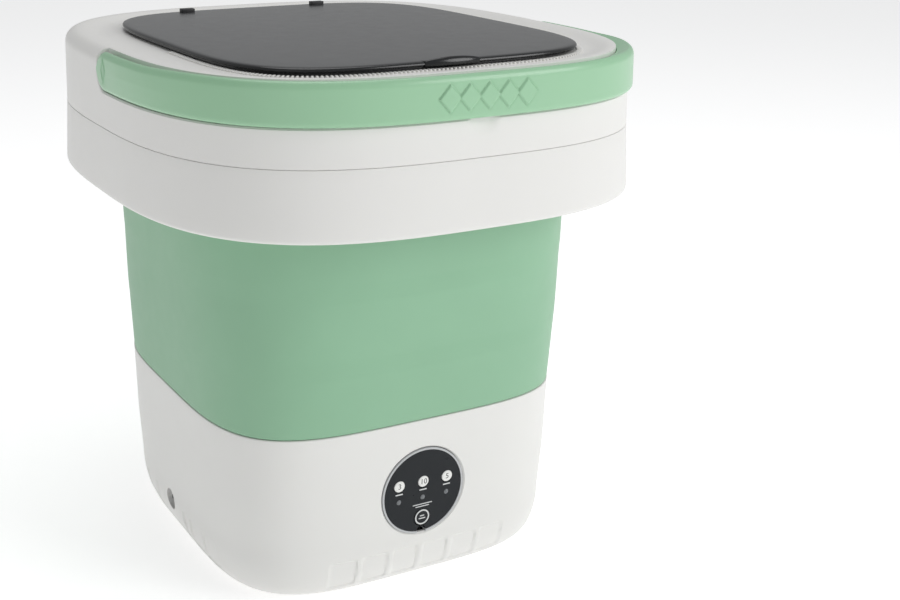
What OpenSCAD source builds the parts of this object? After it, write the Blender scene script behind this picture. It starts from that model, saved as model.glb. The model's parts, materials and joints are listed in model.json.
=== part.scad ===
// Portable mini washer with a folding tub.
// Row frame in millimetres: +Z up, origin on the floor under the middle of the tub,
// the control panel faces -Y and the lid hinges along +Y.

/* [Outline] */
// Width of the collar across X, at its lower edge
collar_w = 357; // [352:1:362]
// Depth of the collar divided by its width
collar_ratio = 1.12; // [1.11:0.01:1.13]
// Depth of the tub and base divided by their width
tub_ratio = 1.02; // [1.01:0.01:1.03]
// Depth of the lid divided by its width
lid_ratio = 1.18; // [1.17:0.01:1.19]
// Squareness of the collar outline, where 2 is an ellipse
collar_power = 3; // [2.9:0.1:3.2]
// Squareness of the tub and base outline
tub_power = 4.1; // [4:0.1:4.2]
// Squareness of the lid and the opening under it
lid_power = 4.2; // [4:0.1:4.4]

/* [Heights] */
// Height of the white base above the floor
base_h = 120; // [118:1:122]
// Underside of the collar above the floor, tub open
collar_z = 267; // [262:1:270]
// Top of the deck above the floor, tub open
deck_z = 361; // [360:1:364]

/* [Control panel] */
// Diameter of the round control panel
panel_d = 59.5; // [58:0.5:61]
// Height of the panel centre above the floor
panel_z = 68; // [66:1:70]

/* [Basket] */
// Diameter over the rim of the drain basket
basket_d = 218; // [208:2:222]
// Slots round the basket in each row
basket_slots = 34; // [28:2:36]

/* [Hidden] */
$fn = 48;

outline_steps = 64;          // points round each outline
collar_shape = [collar_power, collar_ratio];
tub_shape = [tub_power, tub_ratio];
lid_shape = [lid_power, lid_ratio];

collar_a = collar_w / 2;     // half width of the collar at its lower edge
seam_z = collar_z + 45;      // joint line between skirt ring and top ring
top_a = collar_a - 1.5;      // half width of the top ring
recess_a = top_a - 8.7;      // half width of the wall behind the handle
hollow_a = recess_a - 2.8;   // half width of the hollow in the top ring
deck_t = 4.5;
rim_h = 3;                   // the deck is dished inside a rim this high
rim_t = 3;
flange_a = 158;              // inner half width of the collar's bottom flange
clamp_a = 170;               // half width of the ring of collar screws

handle_low = deck_z - 23.5;  // lower edge of the handle band
handle_top = deck_z + 3.5;   // upper edge of the handle band
handle_mid = (handle_low + handle_top) / 2;
handle_out = top_a + 1.5;    // half width over the handle band
handle_shape = [collar_power, collar_ratio + 0.026]; // the grip stands proud of the collar's front
handle_front = handle_out * handle_shape[1];
handle_in = recess_a + 1.7;  // half width inside the handle band
handle_end_r = (handle_top - handle_low) / 2 - 0.1; // radius of the handle's rounded ends
pivot_y = -14;
pivot_r = 4;

opening_y = -6;              // the lid and opening sit forward of the middle
opening_a = 117.8;           // half width of the opening
lid_a = 132;                 // half width of the lid
lid_low = deck_z + 0.5;
lid_t = 5;
lid_skin = 2.4;              // thickness of the lid's top
tab_w = 34;                  // finger tab at the front of the lid
hinge_x = 60;                // hinge arms stand this far to each side
hinge_y = opening_y + lid_a * lid_ratio + 4.2;
hinge_z = deck_z - 2.2;
hinge_w = 10;

base_top_a = 133;            // half width of the base at its top edge
base_mid_a = 130.9;          // and at the height of the panel
base_low_a = 128.2;           // half width where the lower edge starts to round
base_foot_a = 117;           // half width of the flat underside
foot_t = 3;
window_pitch = 23.3;         // vent windows along the front's lower edge
window_w = 19.4;
window_h = 18;
window_depth = 0.9;
tuck_z = base_h - 12;        // the wall's lower bead is held between here and the base top
floor_z = 48;                // underside of the tub floor
floor_t = 3;

shaft_r = 4;
motor_x = 62;
motor_y = 34;
motor_r = 27;
motor_low = 18;
motor_h = 27;
bracket_t = 1.5;
bracket_z = motor_low - bracket_t - 0.1;
bracket_reach = 32;          // bracket posts stand this far from the motor's axis
pulley_z = 9;
pulley_h = 7;
driven_r = 44;
drive_r = 8;
belt_t = 1.6;
screw_x = 84;                // bottom cover screws
screw_y = 88;

basket_r = basket_d / 2;
basket_z = 57;               // underside of the basket
basket_h = 169;
cup_r = basket_r - 13.5;     // lower cup, outside
ring_r = basket_r - 6;       // upper ring, outside
basket_t = 2;

panel_face = base_mid_a * tub_ratio - 0.9;         // the panel's face stands this far in front of the middle
panel_lean = 3.5;            // the panel leans with the base wall, facing slightly down
panel_t = 4.5;
panel_r = panel_d / 2;
bezel_r = panel_r + 1.5;
button_dx = 18.5;
button_z = panel_z + 6.5;
lens_z = panel_z - 5;
start_z = panel_z - 20;
button_r = 4;
start_r = 6;

drain_x = -96;               // drain hole in the tub floor
drain_y = 11;
drain_z = 27;
outlet_r = 5.5;
outlet_bore = 3.8;
outlet_face = -122;          // mouth of the outlet
pocket_r = 7.5;              // pocket that the outlet's mouth sits in
pocket_floor = -117;
pocket_rim = -124.8;         // the pocket wall grows out of the base wall here
spigot_r = 6;
spigot_bore = 4;
spigot_low = floor_z - 6;    // foot of the tub floor's own spigot
socket_y = -58;
socket_z = 42;
cable_r = 1.3;

lid_color = [0.16, 0.17, 0.17];
white = [0.90, 0.90, 0.88];
green = [0.52, 0.75, 0.60];
steel = [0.7, 0.7, 0.72];
dark = [0.12, 0.13, 0.14];

// ---- outlines ----

// One point of a superellipse of half width a, in X and Y. A shape is [squareness, depth / width].
function outline_point(a, shape, angle) = [
    a * sign(cos(angle)) * pow(abs(cos(angle)), 2 / shape[0]),
    a * shape[1] * sign(sin(angle)) * pow(abs(sin(angle)), 2 / shape[0])
];

// Turning by half a step keeps every point off the axes, so that no two fall together.
function outline(a, shape) = [
    for (i = [0 : outline_steps - 1]) outline_point(a, shape, 360 * (i + 0.5) / outline_steps)
];

module outline_area(a, shape) polygon(outline(a, shape));

// A flat plate or prism with the outline of half width a, from z0 up to z1.
module outline_prism(a, shape, z0, z1) {
    translate([0, 0, z0]) linear_extrude(z1 - z0) outline_area(a, shape);
}

// A ring with upright walls.
module outline_ring(a_out, a_in, shape, z0, z1) {
    translate([0, 0, z0]) linear_extrude(z1 - z0) difference() {
        outline_area(a_out, shape);
        outline_area(a_in, shape);
    }
}

// A closed ring swept round the outline. Each profile point is [half width, height, shape].
module outline_sweep(profile) {
    m = len(profile);
    s = outline_steps;
    points = [
        for (p = profile, i = [0 : s - 1])
            let (q = outline_point(p[0], p[2], 360 * (i + 0.5) / s)) [q[0], q[1], p[1]]
    ];
    faces = [
        for (j = [0 : m - 1], i = [0 : s - 1])
            let (
                a = j * s + i,
                b = j * s + (i + 1) % s,
                c = ((j + 1) % m) * s + (i + 1) % s,
                d = ((j + 1) % m) * s + i
            )
            each [[a, d, c], [a, c, b]]
    ];
    polyhedron(points, faces, convexity = 6);
}

// ---- small shared shapes ----

module tube(r_out, r_in, h) {
    difference() {
        cylinder(r = r_out, h = h);
        translate([0, 0, -1]) cylinder(r = r_in, h = h + 2);
    }
}

// A cross-head screw standing on its tip, the head at the top.
module screw(r, length, head_r, head_t) {
    difference() {
        union() {
            cylinder(r = r, h = length);
            translate([0, 0, length - head_t]) cylinder(r = head_r, h = head_t);
        }
        for (turn = [0, 90])
            translate([0, 0, length]) rotate(turn)
                cube([head_r * 1.2, head_r * 0.25, head_t], center = true);
    }
}

module at_cover_screws() {
    for (sx = [-1, 1], sy = [-1, 1]) translate([sx * screw_x, sy * screw_y, 0]) children();
}

// Places a shape behind the panel's face, at this depth, with its +Z pointing out of the panel.
module on_panel(x, z, depth) {
    translate([0, -panel_face, panel_z]) rotate([panel_lean, 0, 0])
        translate([x, depth, z - panel_z]) rotate([90, 0, 0]) children();
}

// Places a shape on the drain outlet's axis, starting at this X, with its +Z pointing to +X.
module at_drain(x) {
    translate([x, drain_y, drain_z]) rotate([0, 90, 0]) children();
}

// ---- base ----

module base_outer_body() {
    outline_sweep([
        [base_foot_a, foot_t, tub_shape], [122.8, 8, tub_shape], [base_low_a, 30, tub_shape],
        [base_mid_a, 70, tub_shape], [base_top_a, base_h, tub_shape],
        [base_top_a - 2.6, base_h, tub_shape], [base_top_a - 2.7, tuck_z - 1, tub_shape],
        [base_mid_a - 2.8, 70, tub_shape], [base_low_a - 2.8, 30, tub_shape], [119.8, 10, tub_shape],
        [114.2, foot_t + 3, tub_shape], [110.5, foot_t + 3, tub_shape],
        [110.5, foot_t, tub_shape]
    ]);
}

// Depth in Y of the outline of half width a at this X.
function outline_y(x, a, shape) = a * shape[1] * pow(1 - pow(abs(x) / a, shape[0]), 1 / shape[0]);

// Shallow blind windows along the front's lower edge, square to the surface there.
module vent_windows() {
    low = [122.8, 8];            // half width and height at the window's foot
    high = [base_low_a, 30];     // and at its head
    mid = (low + high) / 2;
    lean = atan2((high[0] - low[0]) * tub_ratio, high[1] - low[1]);
    for (i = [-2.5 : 2.5]) {
        x = i * window_pitch;
        turn = atan2(outline_y(x - 1, mid[0], tub_shape) - outline_y(x + 1, mid[0], tub_shape), 2);
        translate([x, -outline_y(x, mid[0], tub_shape), mid[1]]) rotate([lean, 0, turn])
            translate([0, window_depth - 10, 0]) cube([window_w, 20, window_h], center = true);
    }
}

module base_shell() {
    color(white) difference() {
        union() {
            base_outer_body();
            at_drain(pocket_rim) cylinder(r = pocket_r + 2.5, h = pocket_floor + 2.5 - pocket_rim);
        }
        on_panel(0, panel_z, 20) cylinder(r = bezel_r + 0.2, h = 40);
        at_drain(-140) cylinder(r = pocket_r, h = pocket_floor + 140);
        at_drain(-130) cylinder(r = outlet_r + 0.1, h = 40);
        translate([100, socket_y, socket_z]) rotate([0, 90, 0]) cylinder(r = 6.2, h = 40);
        vent_windows();
    }
}

module bottom_cover() {
    color(white) difference() {
        outline_prism(110, tub_shape, foot_t, foot_t + 2.5);
        for (sx = [-1, 1], i = [-3 : 3])
            translate([sx * 50 + i * 6, 0, foot_t]) cube([2.4, 46, 8], center = true);
        at_cover_screws() translate([0, 0, -1]) cylinder(r = 2.2, h = 10);
    }
}

module rubber_feet() {
    color(dark) for (sx = [-1, 1], sy = [-1, 1])
        translate([sx * 78, sy * 66, 0]) cylinder(r = 9, h = foot_t);
}

module cover_screws() {
    color(steel) at_cover_screws()
        translate([0, 0, 15.5]) rotate([180, 0, 0]) screw(1.8, 14, 3.6, 1.4);
}

module tub_basin() {
    color(white) {
        difference() {
            union() {
                outline_sweep([
                    [107, floor_z, tub_shape], [110, 58, tub_shape], [115, 94, tub_shape],
                    [125, 105, tub_shape], [126.4, tuck_z, tub_shape], [126.4, base_h - 1, tub_shape],
                    [124, base_h - 1, tub_shape], [123.6, tuck_z, tub_shape],
                    [112.6, 96, tub_shape], [107.6, 60, tub_shape], [104, floor_z + floor_t, tub_shape],
                    [100, floor_z + 1.5, tub_shape]
                ]);
                outline_prism(104.5, tub_shape, floor_z, floor_z + floor_t);
                translate([0, 0, 20]) cylinder(r = 14, h = floor_z - 19);
                at_cover_screws() translate([0, 0, 6]) cylinder(r = 4.5, h = floor_z - 5);
                translate([drain_x, drain_y, spigot_low]) cylinder(r = spigot_r, h = 8);
                at_bracket_posts() translate([0, 0, bracket_z + bracket_t + 0.2])
                    cylinder(r = 5, h = floor_z - bracket_z - bracket_t);
            }
            translate([0, 0, 10]) cylinder(r = shaft_r + 0.4, h = 60);
            translate([0, 0, 19]) cylinder(r = 7, h = 11);
            translate([0, 0, 36]) cylinder(r = 7, h = 14);
            translate([0, 0, 44]) cylinder(r = 9, h = 8);
            at_cover_screws() translate([0, 0, 1]) cylinder(r = 2, h = 17);
            at_bracket_posts() translate([0, 0, bracket_z]) cylinder(r = 1.5, h = 12);
            translate([drain_x, drain_y, floor_z - 10]) cylinder(r = spigot_bore, h = 20);
        }
    }
}

// Upright ring that holds the wall's lower bead up against the rim of the base.
module bead_retainer() {
    color(white) outline_ring(128.9, 127, tub_shape, tuck_z - 6, tuck_z - 0.4);
}

// ---- drive ----

module motor_can() {
    color(steel) translate([motor_x, motor_y, motor_low]) difference() {
        union() {
            cylinder(r = motor_r, h = motor_h);
            translate([0, 0, -1.6]) cylinder(r = 9, h = 3);
        }
        translate([0, 0, -3]) cylinder(r = 2.56, h = 20);
        for (turn = [0, 180]) rotate(turn) translate([16, 0, -1]) cylinder(r = 1.5, h = 8);
    }
}

module at_bracket_posts() {
    for (sy = [-1, 1]) translate([motor_x, motor_y + sy * bracket_reach, 0]) children();
}

module motor_bracket() {
    color(steel) difference() {
        translate([motor_x, motor_y, bracket_z]) union() {
            translate([-8, -bracket_reach - 7, 0]) cube([16, 2 * bracket_reach + 14, bracket_t]);
            cylinder(r = 22, h = bracket_t);
        }
        translate([motor_x, motor_y, bracket_z - 1]) {
            cylinder(r = 9.2, h = 5);
            for (turn = [0, 180]) rotate(turn) translate([16, 0, 0]) cylinder(r = 1.6, h = 8);
        }
        at_bracket_posts() translate([0, 0, bracket_z - 1]) cylinder(r = 1.6, h = 5);
    }
}

module motor_screws() {
    color(steel) {
        translate([motor_x, motor_y, motor_low + 5]) for (turn = [0, 180]) rotate(turn)
            translate([16, 0, 0]) rotate([180, 0, 0]) screw(1.4, 8, 2.8, 1.2);
        at_bracket_posts() translate([0, 0, bracket_z + 6.8]) rotate([180, 0, 0])
            screw(1.4, 8.2, 2.8, 1.2);
    }
}

module motor_shaft() {
    color(steel) translate([motor_x, motor_y, pulley_z - 1]) cylinder(r = 2.5, h = 24);
}

module grooved_pulley(r, bore, hub_r) {
    difference() {
        union() {
            cylinder(r = r, h = pulley_h);
            for (z = [0, pulley_h - 1]) translate([0, 0, z]) cylinder(r = r + 2.2, h = 1);
        }
        translate([0, 0, -1]) cylinder(r = bore, h = pulley_h + 2);
        if (hub_r > 0) for (turn = [0 : 60 : 300]) rotate(turn)
            translate([(r + hub_r) / 2, 0, -1]) cylinder(r = (r - hub_r) / 2 - 3, h = pulley_h + 2);
    }
}

module motor_pulley() {
    color(dark) translate([motor_x, motor_y, pulley_z]) grooved_pulley(drive_r, 2.55, 0);
}

module driven_pulley() {
    color(dark) translate([0, 0, pulley_z]) grooved_pulley(driven_r, shaft_r + 0.05, 12);
}

// Outer outline of a belt round both pulleys, built from its two arcs and its straight runs.
module belt_outline(extra) {
    span = norm([motor_x, motor_y]);
    turn = atan2(motor_y, motor_x);
    lean = asin((driven_r - drive_r) / span);
    big = driven_r + extra;
    small = drive_r + extra;
    arc_big = [for (a = [90 - lean : 6 : 270 + lean]) [big * cos(a), big * sin(a)]];
    arc_small = [for (a = [-90 + lean : 6 : 90 - lean]) [span + small * cos(a), small * sin(a)]];
    rotate(turn) polygon(concat(arc_big, arc_small));
}

module drive_belt() {
    color(dark) translate([0, 0, pulley_z + 1.5]) linear_extrude(pulley_h - 3) difference() {
        belt_outline(0.3 + belt_t);
        belt_outline(0.3);
    }
}

module drive_shaft() {
    color(steel) difference() {
        translate([0, 0, pulley_z - 1]) cylinder(r = shaft_r, h = 51);
        translate([0, 0, 49]) cylinder(r = 1.6, h = 20);
    }
}

module shaft_bushes() {
    color([0.72, 0.55, 0.3]) for (z = [20.5, 36.5]) translate([0, 0, z]) tube(6.95, shaft_r + 0.05, 7);
}

module shaft_seal() {
    color(dark) translate([0, 0, 44.5]) tube(8.9, shaft_r + 0.08, 5);
}

module circlip() {
    color(steel) translate([0, 0, pulley_z + pulley_h + 0.3]) difference() {
        tube(6.8, shaft_r + 0.05, 1);
        translate([0, -1.5, -1]) cube([10, 3, 4]);
    }
}

module impeller() {
    color([0.8, 0.82, 0.83]) translate([0, 0, floor_z + floor_t + 0.8]) difference() {
        union() {
            rotate_extrude() polygon([[0, 0], [54, 0], [54, 2.2], [20, 4.4], [14, 9.5], [0, 9.5]]);
            for (turn = [0 : 60 : 300]) rotate(turn)
                translate([12, -1.5, 1]) cube([38, 3, 6]);
        }
        translate([0, 0, -1]) cylinder(r = shaft_r + 0.05, h = 8.3);
        translate([0, 0, 1]) cylinder(r = 2, h = 12);
        translate([0, 0, 8]) cylinder(r = 4, h = 4);
    }
}

module impeller_screw() {
    color(steel) translate([0, 0, 51]) screw(1.55, 11.2, 3.6, 1.4);
}

// ---- drain basket ----

module slots(r, z0, z1, count, width) {
    for (i = [0 : count - 1])
        rotate(360 * (i + 0.5) / count) translate([r - 6, -width / 2, z0]) cube([12, width, z1 - z0]);
}

module basket_cup() {
    dome_r = 60;
    dome_h = 11;
    color([0.9, 0.91, 0.93]) difference() {
        translate([0, 0, basket_z]) rotate_extrude() polygon([
            [0, dome_h], [dome_r - 6, dome_h], [dome_r, 0], [cup_r - 14, 0], [cup_r - 5, 3],
            [cup_r - 1.5, 10], [cup_r - 0.8, 86], [cup_r, 91], [cup_r - basket_t, 91],
            [cup_r - 0.8 - basket_t, 84], [cup_r - 1.5 - basket_t, 12], [cup_r - 6, 5.5],
            [cup_r - 14, 2], [dome_r + 1.5, 2], [dome_r - 5, dome_h + 2], [0, dome_h + 2]
        ]);
        slots(cup_r - 1, basket_z + 33, basket_z + 78, basket_slots, 4.6);
        for (i = [0 : 17]) rotate(20 * i) translate([cup_r - 24, 0, basket_z - 1]) cylinder(r = 2.4, h = 6);
        translate([0, 0, basket_z]) cylinder(r = 5, h = 20);
    }
}

module basket_ring() {
    color([0.9, 0.91, 0.93]) difference() {
        translate([0, 0, basket_z]) rotate_extrude() polygon([
            [cup_r + 0.5, 82], [cup_r + 2.4, 82], [ring_r - 1, 91], [ring_r, 160],
            [basket_r, 162], [basket_r, basket_h - 1], [basket_r - 1, basket_h],
            [ring_r - basket_t, basket_h], [ring_r - basket_t, 160],
            [ring_r - 1 - basket_t, 92.5], [cup_r + 1.4, 88], [cup_r + 0.5, 87]
        ]);
        slots(ring_r - 1, basket_z + 97, basket_z + 155, basket_slots, 4.6);
    }
}

// ---- controls ----

module panel_hole(x, z, r) {
    on_panel(x, z, 12) cylinder(r = r, h = 20);
}

module control_panel() {
    color(dark) difference() {
        on_panel(0, panel_z, panel_t) cylinder(r = panel_r, h = panel_t);
        for (x = [-button_dx, 0, button_dx]) {
            panel_hole(x, button_z, button_r + 0.3);
            panel_hole(x, lens_z, 1.8);
        }
        panel_hole(0, start_z, start_r + 0.3);
        panel_hole(0, panel_z - panel_r, 3.5);
    }
}

module panel_bezel() {
    color([0.78, 0.79, 0.79]) difference() {
        on_panel(0, panel_z, 6) tube(bezel_r, panel_r + 0.2, 6.3);
        panel_hole(0, panel_z - panel_r, 3.5);
    }
}

module control_board() {
    color([0.1, 0.35, 0.2]) union() {
        on_panel(0, panel_z, 11) cylinder(r = panel_r - 3, h = 1.6);
        on_panel(-12, panel_z + 14, 14) translate([-6, -5, 0]) cube([12, 10, 4]);
    }
}

module indicator_lenses() {
    color([0.5, 0.55, 0.55]) for (x = [-button_dx, 0, button_dx])
        on_panel(x, lens_z, 6) cylinder(r = 1.7, h = 6);
}

// A button cap with a wider foot behind the panel, which keeps it in.
module button(x, z, r) {
    on_panel(x, z, 6.5) cylinder(r = r, h = 7);
    on_panel(x, z, 7) cylinder(r = r + 0.9, h = 1.5);
}

module button_3_min() { color([0.85, 0.86, 0.86]) button(-button_dx, button_z, button_r); }
module button_10_min() { color([0.85, 0.86, 0.86]) button(0, button_z, button_r); }
module button_5_min() { color([0.85, 0.86, 0.86]) button(button_dx, button_z, button_r); }
module button_start() { color([0.3, 0.31, 0.32]) button(0, start_z, start_r); }

// ---- power and drain ----

module power_socket() {
    color(dark) translate([108, socket_y, socket_z]) rotate([0, 90, 0]) difference() {
        cylinder(r = 6, h = 18.6);
        translate([0, 0, 13]) cylinder(r = 4.2, h = 10);
        translate([0, 0, 4]) tube(2.9, 1.1, 12);
    }
}

// A flat cable laid along a plan path at height z, with a bead at every bend.
module cable(path, z) {
    translate([0, 0, z]) linear_extrude(2 * cable_r) {
        for (i = [0 : len(path) - 2]) {
            run = path[i + 1] - path[i];
            translate(path[i]) rotate(atan2(run[1], run[0]))
                translate([0, -cable_r]) square([norm(run), 2 * cable_r]);
        }
        for (i = [1 : len(path) - 2]) translate(path[i]) circle(r = 1.4 * cable_r, $fn = 8);
    }
}

// Both cables run under the tub floor and climb behind the control board.
module wiring_loom() {
    z = socket_z - cable_r;
    riser_x = 12;
    riser_y = -panel_face + 15;
    color([0.7, 0.12, 0.1]) {
        cable([[107.7, socket_y], [98, socket_y], [72, -78], [40, -112], [riser_x, riser_y]], z);
        cable([[-riser_x, riser_y], [-riser_x, -110], [20, -50], [49, 8]], z);
        for (x = [-riser_x, riser_x])
            translate([x, riser_y, z + 0.5]) cylinder(r = 1.4 * cable_r, h = 18, $fn = 8);
    }
}

module drain_strainer() {
    color(white) translate([drain_x, drain_y, floor_z + floor_t + 0.1]) difference() {
        cylinder(r = 7, h = 1.2);
        for (turn = [0 : 60 : 300]) rotate(turn) translate([3, 0, -1]) cylinder(r = 1, h = 4);
    }
}

module drain_hose() {
    low = drain_z + outlet_r + 0.8;
    color(dark) translate([drain_x, drain_y, low]) tube(8.2, spigot_r + 0.05, floor_z - 0.1 - low);
}

// Elbow that leads from the hose to a mouth in the base's side pocket.
module drain_outlet() {
    color([0.85, 0.86, 0.86]) difference() {
        union() {
            at_drain(outlet_face) cylinder(r = outlet_r, h = drain_x - outlet_face + 7);
            at_drain(pocket_floor - 2.1) cylinder(r = outlet_r + 1.5, h = 2);
            translate([drain_x, drain_y, drain_z]) cylinder(r = spigot_r, h = spigot_low - 0.8 - drain_z);
        }
        at_drain(outlet_face - 1) cylinder(r = outlet_bore, h = drain_x - outlet_face + 5);
        translate([drain_x, drain_y, drain_z]) cylinder(r = spigot_bore, h = 20);
    }
}

module outlet_nut() {
    color([0.85, 0.86, 0.86]) at_drain(pocket_floor + 2.7) difference() {
        cylinder(r = outlet_r + 4, h = 5, $fn = 6);
        translate([0, 0, -1]) cylinder(r = outlet_r + 0.1, h = 8);
    }
}

module drain_plug() {
    color([0.35, 0.36, 0.36]) at_drain(outlet_face - 2.4) union() {
        cylinder(r = outlet_r - 0.5, h = 2.3);
        translate([0, 0, 2]) cylinder(r = outlet_bore - 0.1, h = 14);
        translate([-1.2, -3.5, -1.4]) cube([2.4, 7, 2]);
    }
}

// ---- folding wall ----

// The wall's outline goes from the base's shape, at 0, to the collar's, at 1.
function wall_shape(share) = tub_shape + (collar_shape - tub_shape) * share;

module folding_wall() {
    color(green) outline_sweep([
        [130, tuck_z, tub_shape], [130, base_h + 0.1, tub_shape], [132.7, base_h + 0.8, tub_shape],
        [136.1, 170, wall_shape(0.33)], [139.1, 225, wall_shape(0.7)], [140.7, 250, wall_shape(0.85)],
        [143.2, 260, wall_shape(0.9)], [148.2, 266, wall_shape(0.94)], [154.5, 270, wall_shape(0.98)],
        [166, 271, collar_shape],
        [166, 273.2, collar_shape], [153.4, 272.6, wall_shape(0.98)], [146.2, 268.8, wall_shape(0.94)],
        [140.6, 262, wall_shape(0.9)], [138.3, 252, wall_shape(0.85)], [136.7, 225, wall_shape(0.7)],
        [133.7, 170, wall_shape(0.33)], [130, base_h + 1.2, tub_shape],
        [126.9, base_h - 0.4, tub_shape], [126.9, tuck_z, tub_shape]
    ]);
}

// ---- collar ----

module at_collar_screws() {
    for (angle = [35 : 55 : 340]) {
        q = outline_point(clamp_a, collar_shape, angle);
        translate([q[0], q[1], collar_z]) children();
    }
}

module skirt_ring() {
    color(white) difference() {
        outline_sweep([
            [flange_a, collar_z, collar_shape], [collar_a - 2, collar_z, collar_shape],
            [collar_a, collar_z + 2, collar_shape], [top_a, seam_z - 0.4, collar_shape],
            [top_a - 3, seam_z - 0.4, collar_shape], [collar_a - 3, collar_z + 2.6, collar_shape],
            [flange_a, collar_z + 2.6, collar_shape]
        ]);
        at_collar_screws() translate([0, 0, 0.8]) cylinder(r = 1.35, h = 5);
    }
}

module wall_clamp_ring() {
    color(white) difference() {
        outline_ring(174, flange_a, collar_shape, collar_z + 7, collar_z + 9.5);
        at_collar_screws() cylinder(r = 1.5, h = 20);
    }
}

module collar_screws() {
    color(steel) at_collar_screws() translate([0, 0, 1]) screw(1.3, 9.7, 2.6, 1.1);
}

// Everything in front of the pivots, with the rounded ends, grown by extra.
module handle_region(extra) {
    translate([-250, pivot_y - 300, 200]) cube([500, 300, 300]);
    translate([-250, pivot_y, handle_mid]) rotate([0, 90, 0]) cylinder(r = handle_end_r + extra, h = 500);
}

// The recess is open upwards behind the pivots, where the raised handle comes to stand.
module handle_recess() {
    intersection() {
        outline_ring(top_a + 10, recess_a, collar_shape, handle_low - 1, deck_z + 10);
        union() {
            handle_region(0.7);
            translate([-250, pivot_y - 1, handle_mid + 1]) cube([500, handle_end_r + 1.5, 60]);
        }
    }
}

// The pivot bore, which stops just short of the handle's outer face.
module pivot_bore() {
    reach = handle_out - 2.2;
    translate([-reach, pivot_y, handle_mid]) rotate([0, 90, 0]) cylinder(r = pivot_r, h = 2 * reach);
}

module opening_prism(a, z0, z1) {
    translate([0, opening_y, 0]) outline_prism(a, lid_shape, z0, z1);
}

module top_ring() {
    color(white) difference() {
        union() {
            difference() {
                outline_prism(top_a, collar_shape, seam_z, deck_z + rim_h);
                outline_prism(recess_a - rim_t, collar_shape, deck_z, deck_z + rim_h + 1);
                outline_prism(top_a - 3, collar_shape, seam_z - 1, handle_low - 3.5);
                outline_prism(hollow_a, collar_shape, seam_z - 1, deck_z - deck_t);
                handle_recess();
            }
            translate([0, opening_y, 0])
                outline_ring(opening_a + 3, opening_a, lid_shape, deck_z - 20, deck_z - 1);
            outline_ring(top_a - 2, top_a - 6, collar_shape, seam_z + 1, seam_z + 8);
            outline_ring(top_a - 3.4, top_a - 6, collar_shape, seam_z - 8, seam_z + 2);
        }
        opening_prism(opening_a, deck_z - 30, deck_z + 5);
        pivot_bore();
        for (sx = [-1, 1]) translate([sx * hinge_x, hinge_y, deck_z]) {
            cube([hinge_w + 1.6, 11.8, 16], center = true);
            translate([-10, 0, hinge_z - deck_z]) rotate([0, 90, 0]) cylinder(r = 1.55, h = 20);
        }
        translate([0, -top_a * collar_ratio - 4, handle_low - 2]) rotate([-90, 0, 0])
            cylinder(r = 12, h = 6);
    }
}

module hinge_pins() {
    color(steel) for (sx = [-1, 1])
        translate([sx * hinge_x - 9, hinge_y, hinge_z]) rotate([0, 90, 0]) cylinder(r = 1.5, h = 18);
}

// ---- lid ----

module at_hinges() {
    for (sx = [-1, 1]) translate([sx * hinge_x, hinge_y, hinge_z]) children();
}

module lid_panel() {
    ceiling = lid_low + lid_t - lid_skin;
    color(lid_color) difference() {
        union() {
            opening_prism(lid_a, lid_low, lid_low + lid_t);
            translate([-tab_w / 2, opening_y - lid_a * lid_ratio - 5, lid_low + 0.5])
                cube([tab_w, 12, lid_t + 1]);
        }
        difference() {
            opening_prism(lid_a - 3, lid_low - 1, ceiling);
            translate([0, opening_y, 0])
                outline_ring(opening_a - 3, opening_a - 6, lid_shape, lid_low - 2, ceiling + 1);
        }
        at_hinges() translate([-hinge_w / 2 - 0.3, -20, 0]) cube([hinge_w + 0.6, 30, ceiling - hinge_z]);
    }
    color(lid_color) translate([0, opening_y, 0])
        outline_ring(opening_a - 3, opening_a - 6, lid_shape, deck_z - 7, lid_low + 0.2);
}

module lid_seal() {
    color(dark) translate([0, opening_y, 0])
        outline_ring(opening_a - 0.8, opening_a - 2.9, lid_shape, deck_z - 6, deck_z - 3);
}

// Each arm reaches from its barrel through the lid's rim to the underside of the lid.
module lid_hinge_arms() {
    color(dark) at_hinges() translate([-hinge_w / 2, 0, 0]) difference() {
        union() {
            rotate([0, 90, 0]) cylinder(r = 3.4, h = hinge_w);
            translate([0, -16, 3]) cube([hinge_w, 16, 1.9]);
            translate([0, -2.4, 0]) cube([hinge_w, 2.4, 4.9]);
        }
        translate([-1, 0, 0]) rotate([0, 90, 0]) cylinder(r = 1.55, h = hinge_w + 2);
    }
}

module lid_bumpers() {
    color(dark) for (angle = [60, 120, 240, 300]) {
        q = outline_point((opening_a + lid_a) / 2 - 2, lid_shape, angle);
        translate([q[0], q[1] + opening_y, deck_z]) cylinder(r = 2.5, h = 0.4);
    }
}

// ---- handle ----

module handle_band() {
    color(green) difference() {
        union() {
            intersection() {
                outline_prism(handle_out, handle_shape, handle_low, handle_top);
                handle_region(0);
            }
            for (i = [-2 : 2]) translate([i * 14.5, 1 - handle_front, handle_mid])
                rotate([90, 0, 0]) cylinder(r = 8, h = 1.7, $fn = 4);
        }
        outline_prism(handle_in, collar_shape, handle_low - 1, handle_top + 1);
        pivot_bore();
    }
}

module handle_pins() {
    color(steel) for (sx = [-1, 1]) translate([sx * (hollow_a - 4), pivot_y, handle_mid])
        rotate([0, sx * 90, 0]) cylinder(r = pivot_r - 0.05, h = handle_out - hollow_a + 1.5);
}

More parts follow.
